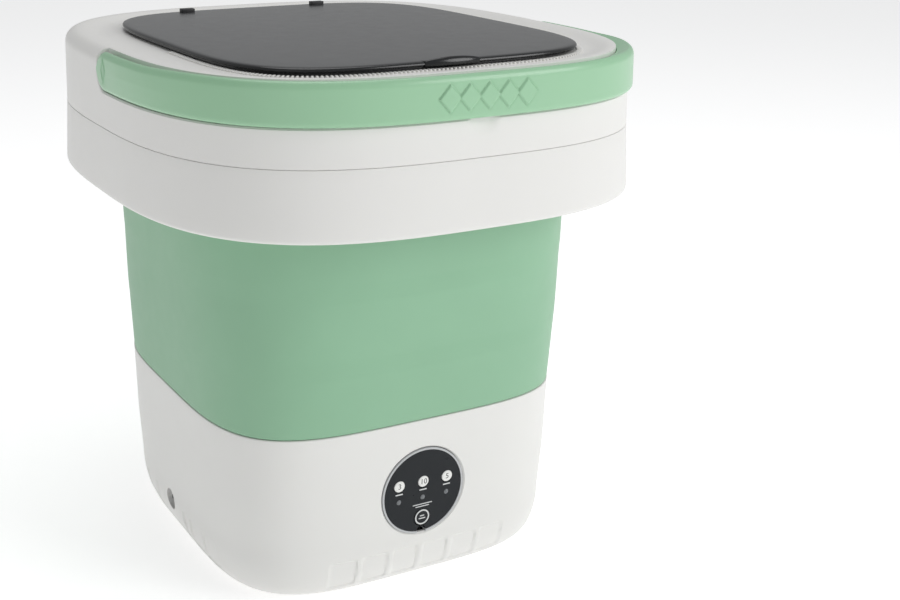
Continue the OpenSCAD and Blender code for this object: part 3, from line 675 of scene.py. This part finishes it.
def make_rim_teeth():
    """The row of short ribs on the deck along the front of the lid."""
    pitch = 2.9
    angles = stations(LID_A, LID, lambda p: pitch, math.radians(188), math.radians(352))
    teeth = []
    for i, angle in enumerate(angles):
        spot = outline_point(LID_A + 1.6, LID, angle, DECK_Z + 0.35, OPENING_Y)
        ahead = outline_point(LID_A + 1.6, LID, angle + 0.01, DECK_Z + 0.35, OPENING_Y)
        turn = math.atan2(ahead.y - spot.y, ahead.x - spot.x)
        matrix = Matrix.Translation(spot) @ Matrix.Rotation(turn, 4, "Z")
        teeth.append(block(f"tooth_{i}", (1.5, 4.4, 1.5), matrix, WHITE, 0.35))
    comb = join("rim_teeth", teeth)
    place_piece(comb, "collar", "white_abs")


# ---- handle ----

GRIP_Y = -100.0                           # only the handle's front lies beyond this
DIAMOND_PITCH = 13.6
DIAMOND_HALF_W, DIAMOND_HALF_H = 7.7, 8.6


def diamond_relief(x, rise):
    """Five raised lozenges in a row, each lapping a little over the one to its left, in a fine groove."""
    nearest = -1.0
    best = 0.0
    for i in range(-2, 3):
        along = x - i * DIAMOND_PITCH
        inside = 1 - abs(along) / DIAMOND_HALF_W - abs(rise) / DIAMOND_HALF_H
        nearest = max(nearest, inside)
        height = 0.9 - 0.16 * along / DIAMOND_HALF_W
        best = max(best, height * smoothstep(inside, 0.0, 0.09))
    if best > 0:
        return best
    return -0.35 * max(0.0, 1 - abs(nearest + 0.07) / 0.07)


def end_mark_relief(y, rise):
    """The thin raised lozenge outline at each pivot."""
    size = abs(y - PIVOT_Y + 1.0) / 4.6 + abs(rise) / 9.4
    return 0.5 * smoothstep(size, 0.66, 0.76) * (1 - smoothstep(size, 0.92, 1.02))


def handle_section(p, half, thickness):
    """Loop of (distance out, height) points round the band, outer face first, from top to bottom."""
    face_steps = 58
    top_r, foot_r = min(5.0, 0.8 * half), min(3.0, 0.7 * half)
    ahead = PIVOT_Y - p.y
    ridge = 0.5 * smoothstep(ahead, 4.0, 30.0) * (1 - smoothstep(ahead, 60.0, 140.0))
    droop = 1.4 * (1 - smoothstep(ahead, 60.0, 120.0))
    loop = []
    for k in range(face_steps + 1):
        rise = half * math.cos(math.pi * k / face_steps)
        inset = 0.0
        if rise > half - top_r:
            inset = 0.75 * top_r * (1 - math.sqrt(max(0.0, 1 - ((rise - half + top_r) / top_r) ** 2)))
        if rise < -half + foot_r:
            inset = 0.6 * foot_r * (1 - math.sqrt(max(0.0, 1 - ((-rise - half + foot_r) / foot_r) ** 2)))
        relief = ridge * (1 - abs(rise) / half) - inset
        if p.y < GRIP_Y and abs(p.x) < 40:
            relief += diamond_relief(p.x, rise)
        if abs(ahead) < 12:
            relief += end_mark_relief(p.y, rise) * smoothstep(half, 5.0, 9.0)
        loop.append((thickness - 0.8 + relief, rise - droop * max(0.0, rise) / HANDLE_HALF))
    for k in range(1, 8):
        rise = -half + 2 * half * k / 8
        back = 0.9 * (abs(rise) / half) ** 6
        loop.append((back, rise - droop * max(0.0, rise) / HANDLE_HALF))
    return loop


def make_handle():
    end_y = HANDLE_HALF - 0.1
    end_angle = math.atan2(PIVOT_Y + end_y - 0.02, HANDLE_A - 1)

    def spacing(p):
        if p.y > PIVOT_Y - 14:
            return 0.5
        if p.y < GRIP_Y and abs(p.x) < 39:
            return 0.45
        return 2.2

    start, stop = math.pi - end_angle, 2 * math.pi + end_angle
    angles = stations(HANDLE_A, GRIP, spacing, start, stop)
    rows = []
    for angle in angles:
        outer = outline_point(HANDLE_A, GRIP, angle, HANDLE_MID)
        inner = outline_point(HANDLE_IN, COLLAR, angle, HANDLE_MID)
        half = HANDLE_HALF
        if outer.y > PIVOT_Y:
            half = math.sqrt(max(0.6, end_y ** 2 - (outer.y - PIVOT_Y) ** 2))
        thickness = (outer - inner).length
        way = (outer - inner) / thickness
        rows.append([inner + way * out + UP * rise for out, rise in handle_section(outer, half, thickness)])
    handle = grid("carry_handle", rows, MINT, loop_rows=False, caps=True, sharp=50.0)
    place_piece(handle, "handle", "mint_abs", "handle_band")


# ---- lid ----

def make_lid():
    top, foot = LID_TOP_Z, DECK_Z + 0.55
    under = top - 2.8
    lip_a = OPENING_A - 3
    profile = [
        (2, top + 0.35), (45, top + 0.3), (90, top + 0.15), (118, top), (LID_A - 4.5, top - 0.1),
        (LID_A - 1.7, top - 0.2), (LID_A - 0.6, top - 0.6), (LID_A - 0.1, top - 1.3), (LID_A, top - 2.1),
        (LID_A - 0.5, top - 2.6), (LID_A - 1.1, top - 2.8), (LID_A - 1.2, top - 3.2),
        (LID_A - 1.0, top - 3.6), (LID_A - 1.7, foot + 0.5), (LID_A - 2.3, foot), (LID_A - 3.6, foot),
        (LID_A - 3.9, foot + 0.4), (LID_A - 3.9, under - 0.3), (LID_A - 4.3, under), (lip_a + 0.4, under),
        (lip_a, under - 0.4), (lip_a, DECK_Z - 6.6), (lip_a - 0.4, DECK_Z - 7), (lip_a - 2.6, DECK_Z - 7),
        (lip_a - 3, DECK_Z - 6.6), (lip_a - 3, under - 0.4), (lip_a - 3.4, under), (60, under), (2, under),
    ]
    angles = stations(LID_A, LID, lambda p: 2.0)
    rows = [[outline_point(a, LID, t, z, OPENING_Y) for t in angles] for a, z in profile]
    lid = grid("lid_plate", rows, SMOKED, loop_rows=False, caps=True, sharp=45.0)
    place_piece(lid, "lid", "smoked_plastic", "lid_panel")


def make_hinge_covers():
    """Low black caps near the hinge arms, on the back edge of the lid."""
    inward, ahead = 3.0, 10.0
    for side, name in ((-1, "hinge_cover_left"), (1, "hinge_cover_right")):
        spot = Vector((side * (HINGE_X - inward), HINGE.y - ahead, LID_TOP_Z + 0.6))
        cover = block(name, HINGE_COVER, Matrix.Translation(spot), MATT_BLACK, 0.6)
        place_piece(cover, "lid", "black_plastic")


def make_finger_tab():
    """A low curved grip that stands up at the front of the lid."""
    half_w = 20.0
    columns = []
    steps = 48
    for i in range(steps + 1):
        x = -half_w + 2 * half_w * i / steps
        swell = max(0.0, 1 - (x / half_w) ** 2) ** 0.8
        edge_y = OPENING_Y - LID_A * LID.y
        crest = 0.3 + 2.6 * swell
        reach = 0.4 + 3.6 * swell
        top = LID_TOP_Z
        columns.append([
            Vector((x, edge_y + 8, top - 1.5)), Vector((x, edge_y + 8, top - 0.2)),
            Vector((x, edge_y + 4.5, top + 0.15 * crest)), Vector((x, edge_y + 2.2, top + 0.6 * crest)),
            Vector((x, edge_y + 0.2 - 0.3 * reach, top - 0.3 + crest)),
            Vector((x, edge_y - 0.6 * reach, top - 0.5 + 0.9 * crest)),
            Vector((x, edge_y - 0.9 * reach, top - 1.2 + 0.5 * crest)),
            Vector((x, edge_y - reach, top - 2.0)), Vector((x, edge_y - 0.85 * reach, top - 2.9)),
            Vector((x, edge_y - 0.3 * reach, top - 3.2)), Vector((x, edge_y + 2, top - 3.2)),
        ])
    tab = grid("lid_finger_tab", columns, SMOKED, loop_rows=False, caps=True, sharp=60.0)
    smooth = tab.modifiers.new("smooth", "SUBSURF")
    smooth.levels = smooth.render_levels = 1
    place_piece(tab, "lid", "smoked_plastic")


# ---- control panel ----

def text_mesh(name, words, size, matrix, material):
    """Flat printed digits."""
    curve = bpy.data.curves.new(name, "FONT")
    curve.body = words
    curve.size = size * MM
    curve.extrude = 0.02 * MM
    curve.align_x = "CENTER"
    curve.align_y = "CENTER"
    source = bpy.data.objects.new(name + "_curve", curve)
    bpy.context.scene.collection.objects.link(source)
    bpy.context.view_layer.update()
    done = source.evaluated_get(bpy.context.evaluated_depsgraph_get())
    mesh = bpy.data.meshes.new_from_object(done)
    bpy.data.objects.remove(source)
    placed = matrix.copy()
    placed.translation = placed.translation * MM
    mesh.transform(placed)
    mesh.materials.clear()
    mesh.materials.append(material)
    obj = bpy.data.objects.new(name, mesh)
    bpy.context.scene.collection.objects.link(obj)
    return obj


def make_controls():
    button_r = (BUTTON_HIGH.x - BUTTON_LOW.x) / 2 - 0.9
    button_x = (BUTTON_HIGH.x + BUTTON_LOW.x) / 2
    button_z = (BUTTON_HIGH.z + BUTTON_LOW.z) / 2 - 0.05
    lens_z = (LENS_HIGH.z + LENS_LOW.z) / 2
    start_z = (START_HIGH.z + START_LOW.z) / 2
    start_r = (START_HIGH.x - START_LOW.x) / 2 - 0.9
    for minutes, x in (("3", -button_x), ("10", 0.0), ("5", button_x)):
        cap = disc(f"button_cap_{minutes}", [
            (button_r, -6.0), (button_r, -0.1), (button_r - 0.15, 0.25), (button_r - 0.5, 0.42), (1.2, 0.5)
        ], BUTTON_WHITE, panel_matrix(x, button_z), 64)
        place_piece(cap, f"key_{minutes}_min", "button_white", f"button_{minutes}_min")
        digits = text_mesh(f"digits_{minutes}", minutes, 5.4, panel_matrix(x, button_z, -0.5), PRINT_BLACK)
        place_piece(digits, f"key_{minutes}_min", "black_gloss")
        label = block(f"label_bar_{minutes}", (5.6, 0.9, 0.12), panel_matrix(x, button_z - 6.0, -0.02),
                      PRINT_WHITE, 0.05)
        place_piece(label, "base", "button_white")
        dome = disc(f"lens_dome_{minutes}", [(1.7, -0.6), (1.7, 0.0), (1.45, 0.3), (0.9, 0.5), (0.2, 0.55)],
                    LENS, panel_matrix(x, lens_z), 32)
        place_piece(dome, "base", "lens_plastic")
    cap = disc("start_button_cap", [
        (start_r, -6.0), (start_r, -0.1), (start_r - 0.2, 0.3), (start_r - 0.6, 0.5), (start_r - 1.6, 0.42),
        (1.5, 0.3)
    ], GLOSS_BLACK, panel_matrix(0, start_z), 64)
    place_piece(cap, "key_start", "black_gloss", "button_start")
    ring = lathe("start_ring", [
        (start_r - 1.5, 0.40), (start_r - 1.5, 0.56), (start_r - 0.5, 0.62), (start_r - 0.5, 0.40)
    ], PRINT_WHITE, panel_matrix(0, start_z), 64)
    place_piece(ring, "key_start", "button_white")
    bars = [
        block(f"start_bar_{k}", (width, 0.8, 0.12), panel_matrix(0, start_z + rise, -0.38),
              PRINT_WHITE, 0.05)
        for k, (width, rise) in enumerate(((3.4, 1.0), (5.0, -1.0)))
    ]
    place_piece(join("start_bars", bars), "key_start", "button_white")
    lines = [
        block(f"note_line_{k}", (width, 0.7, 0.12), panel_matrix(0, start_z + rise, -0.02),
              PRINT_WHITE, 0.05)
        for k, (width, rise) in enumerate(((15.0, 9.6), (10.5, 7.9)))
    ]
    place_piece(join("note_lines", lines), "base", "button_white")


# ---- build ----

dress_cad_nodes()
make_base()
make_wall()
make_skirt()
make_top_ring()
make_rim_teeth()
make_handle()
make_lid()
make_finger_tab()
make_hinge_covers()
make_controls()


# ---- floor, light and camera ----

def make_floor():
    """A wide pale floor that glows a little, so that it runs into the background."""
    shape = bmesh.new()
    bmesh.ops.create_grid(shape, x_segments=8, y_segments=8, size=12.0)
    mesh = bpy.data.meshes.new("floor")
    shape.to_mesh(mesh)
    shape.free()
    pale = make_material("floor_pale", (0.86, 0.86, 0.86), 0.75, variation=0.01)
    shader = pale.node_tree.nodes["Principled BSDF"]
    shader.inputs["Emission Color"].default_value = (1, 1, 1, 1)
    shader.inputs["Emission Strength"].default_value = 0.45
    mesh.materials.append(pale)
    obj = bpy.data.objects.new("floor", mesh)
    bpy.context.scene.collection.objects.link(obj)


def make_light(name, spot, aim, size, power, color=(1, 1, 1)):
    data = bpy.data.lights.new(name, "AREA")
    data.shape = "DISK"
    data.size = size
    data.energy = power
    data.color = color
    obj = bpy.data.objects.new(name, data)
    obj.location = spot
    obj.rotation_mode = "QUATERNION"
    obj.rotation_quaternion = (Vector(aim) - Vector(spot)).to_track_quat("-Z", "Y")
    bpy.context.scene.collection.objects.link(obj)


def make_world():
    world = bpy.data.worlds.new("studio")
    world.use_nodes = True
    back = world.node_tree.nodes["Background"]
    back.inputs["Color"].default_value = (0.98, 0.99, 1.0, 1)
    back.inputs["Strength"].default_value = 0.42
    bpy.context.scene.world = world


def make_camera():
    """The eye stands front left, looking a little down. Lens shift moves the framing off centre, and a driver
    drops it elsewhere.
    """
    azimuth, elevation = math.radians(-27.01), math.radians(10.64)
    distance, aim_z = 1.0029, 0.313
    shifts = {"shift_x": 0.129111, "shift_y": -0.220556}  # in widths of the picture
    back = Vector((math.sin(azimuth) * math.cos(elevation), -math.cos(azimuth) * math.cos(elevation),
                   math.sin(elevation)))
    spot = back * distance + Vector((0, 0, aim_z))
    data = bpy.data.cameras.new("camera")
    data.sensor_width = 36.0
    data.lens = 55.208
    camera = bpy.data.objects.new("camera", data)
    camera.location = spot
    camera.rotation_mode = "QUATERNION"
    camera.rotation_quaternion = (-back).to_track_quat("-Z", "Y")
    bpy.context.scene.collection.objects.link(camera)
    bpy.context.scene.camera = camera
    anchor = bpy.data.objects.new("camera_anchor", None)
    anchor.location = spot
    bpy.context.scene.collection.objects.link(anchor)
    for path, amount in shifts.items():
        driver = data.driver_add(path).driver
        driver.type = "SCRIPTED"
        away = driver.variables.new()
        away.name = "away"
        away.type = "LOC_DIFF"
        away.targets[0].id = camera
        away.targets[1].id = anchor
        driver.expression = f"{amount:.6f} if away < 0.001 else 0.0"


make_floor()
make_world()
make_light("key", (1.45, -1.8, 1.3), (0, 0, 0.2), 1.5, 24)
make_light("fill", (-1.9, -1.4, 1.0), (0, 0, 0.2), 1.8, 1.2)
make_light("top", (0.1, 0.4, 2.2), (0, 0, 0.2), 1.6, 13)
make_camera()
bpy.context.scene.view_settings.view_transform = "Standard"
